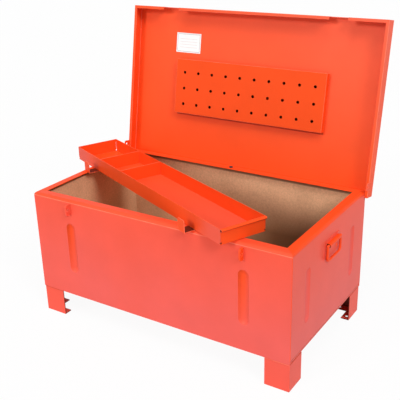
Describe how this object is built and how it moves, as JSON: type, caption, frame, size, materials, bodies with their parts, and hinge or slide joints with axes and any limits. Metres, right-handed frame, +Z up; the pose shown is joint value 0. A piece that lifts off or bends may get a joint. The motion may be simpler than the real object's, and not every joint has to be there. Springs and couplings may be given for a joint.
{
  "type": "jobsite box",
  "caption": "Painted steel jobsite box on angle legs, with a hinged lid standing open, hardboard lining, bail handles, padlock eyes and a loose tray laid across the rim.",
  "frame": {"origin": "on the floor under the middle of the body, at the centre of the floor bolt holes", "axes": "+X to the box's right, +Y to its back, +Z up"},
  "size_m": [1.006, 0.6859, 0.935],
  "materials": {
    "paint": "satin powder coat",
    "hardboard": "matt",
    "zinc": "zinc plated",
    "card": "matt",
    "rubber": "matt"
  },
  "bodies": {
    "base": {"front_panel": "paint", "rear_panel": "paint", "left_side_panel": "paint", "right_side_panel": "paint", "floor_pan": "paint", "leg_front_left": "paint", "leg_front_right": "paint", "leg_rear_left": "paint", "leg_rear_right": "paint", "liner_floor": "hardboard", "liner_front": "hardboard", "liner_rear": "hardboard", "liner_left": "hardboard", "liner_right": "hardboard", "padlock_eye_left": "paint", "padlock_eye_right": "paint", "rim_buffer": "rubber", "handle_plate_left": "paint", "handle_plate_right": "paint", "handle_rivets": "paint", "hinge_leaf_left": "paint", "hinge_leaf_right": "paint", "hinge_rivets": "paint", "hinge_pin_left": "zinc", "hinge_pin_right": "zinc"},
    "lid": {"lid_shell": "paint", "lid_hinge_leaf_left": "paint", "lid_hinge_leaf_right": "paint", "lid_hinge_rivets": "paint", "tool_panel": "paint", "label_card": "card", "lid_ear_left": "paint", "lid_ear_right": "paint"},
    "bail_left": {"handle_bail_left": "paint"},
    "bail_right": {"handle_bail_right": "paint"},
    "tray": {"tray_pan": "paint", "tray_divider_left": "paint", "tray_divider_right": "paint", "tray_hook_left": "paint", "tray_hook_right": "paint"}
  },
  "joints": [
    {"name": "lid_hinge", "type": "hinge", "parent": "base", "child": "lid", "pos_m": [0, 0.2628, 0.4087], "axis": [1, 0, 0], "range_deg": [0, 100]},
    {"name": "bail_left_swing", "type": "hinge", "parent": "base", "child": "bail_left", "pos_m": [-0.463, 0, 0.362], "axis": [0, 1, 0], "range_deg": [0, 90]},
    {"name": "bail_right_swing", "type": "hinge", "parent": "base", "child": "bail_right", "pos_m": [0.463, 0, 0.362], "axis": [0, -1, 0], "range_deg": [0, 90]},
    {"name": "tray_lift_off", "type": "slide", "parent": "base", "child": "tray", "axis": [0, -0.9781, 0.2079], "range_m": [0, 0.62]}
  ],
  "couplings": [
    {"joint": "tray_lift_off", "follows": "lid_hinge", "m_per_rad": 0.355}
  ]
}
